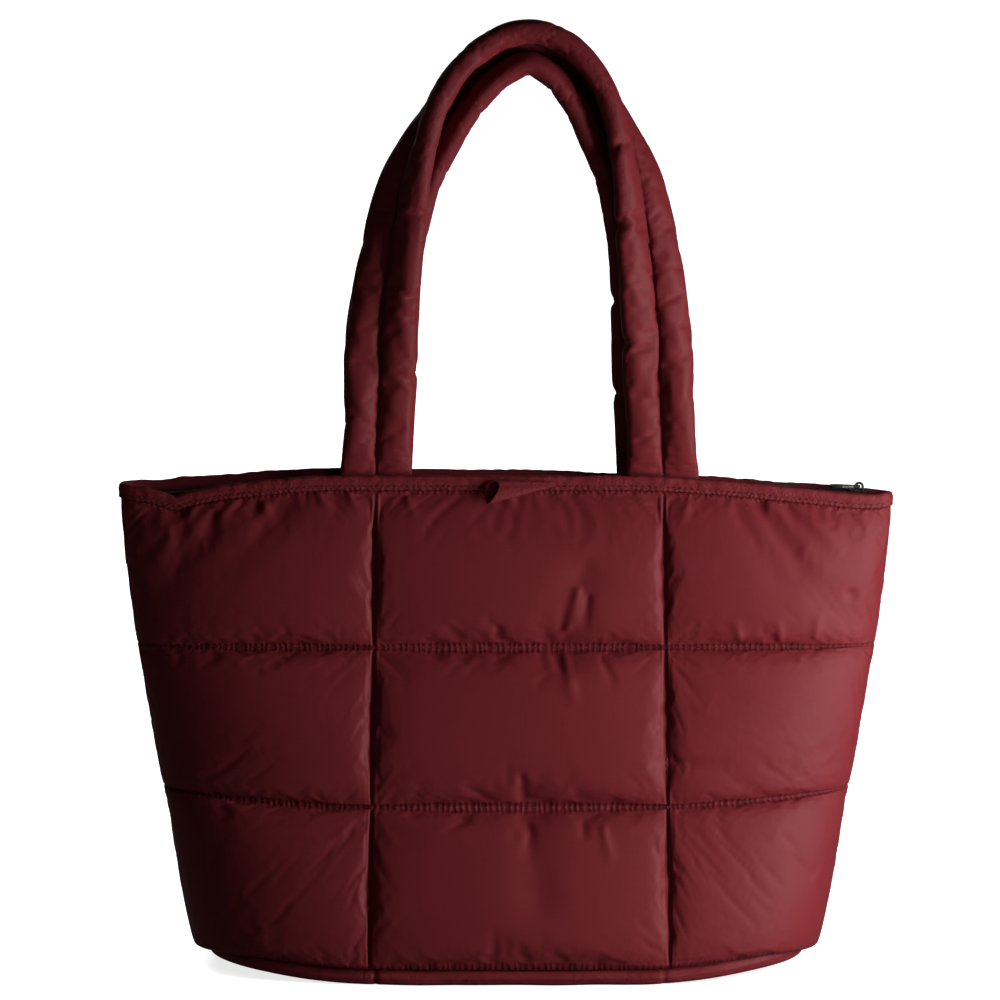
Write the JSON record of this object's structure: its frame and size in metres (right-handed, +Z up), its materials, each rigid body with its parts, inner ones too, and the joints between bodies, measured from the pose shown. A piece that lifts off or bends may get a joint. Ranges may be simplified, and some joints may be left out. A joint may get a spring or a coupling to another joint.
{
  "type": "puffer tote bag",
  "caption": "Padded shopper bag with quilted walls on an oval base, a zipped mouth with a metal slider and pull, and padded shoulder straps that arch over it.",
  "frame": {"origin": "middle of the bag's footprint, on the surface it stands on", "axes": "+Z up through the straps, -Y out of the front wall, +X towards the end where the closed zip's slider lies"},
  "size_m": [0.4646, 0.162, 0.5731],
  "materials": {
    "quilted_nylon": "satin woven nylon, quilted over wadding",
    "binding_nylon": "the same nylon, folded and sewn",
    "strap_nylon": "the same nylon, padded in channels",
    "zip_tape": "matt woven tape",
    "zip_coil": "moulded coil",
    "gunmetal": "dark polished metal"
  },
  "bodies": {
    "bag": {"front_panel": "quilted_nylon", "back_panel": "quilted_nylon", "base_panel": "quilted_nylon", "binding_front": "binding_nylon", "binding_back": "binding_nylon", "zip_tape_front": "zip_tape", "zip_tape_back": "zip_tape", "zip_teeth": "zip_coil", "zip_slider": "gunmetal", "handle_front": "strap_nylon", "handle_back": "strap_nylon", "front_tab": "binding_nylon"},
    "pull": {"zip_pull": "gunmetal"}
  },
  "joints": [
    {"name": "pull_hinge", "type": "hinge", "parent": "bag", "child": "pull", "pos_m": [0.21175, 0, 0.28975], "axis": [0, 1, 0], "range_deg": [0, 170]}
  ]
}
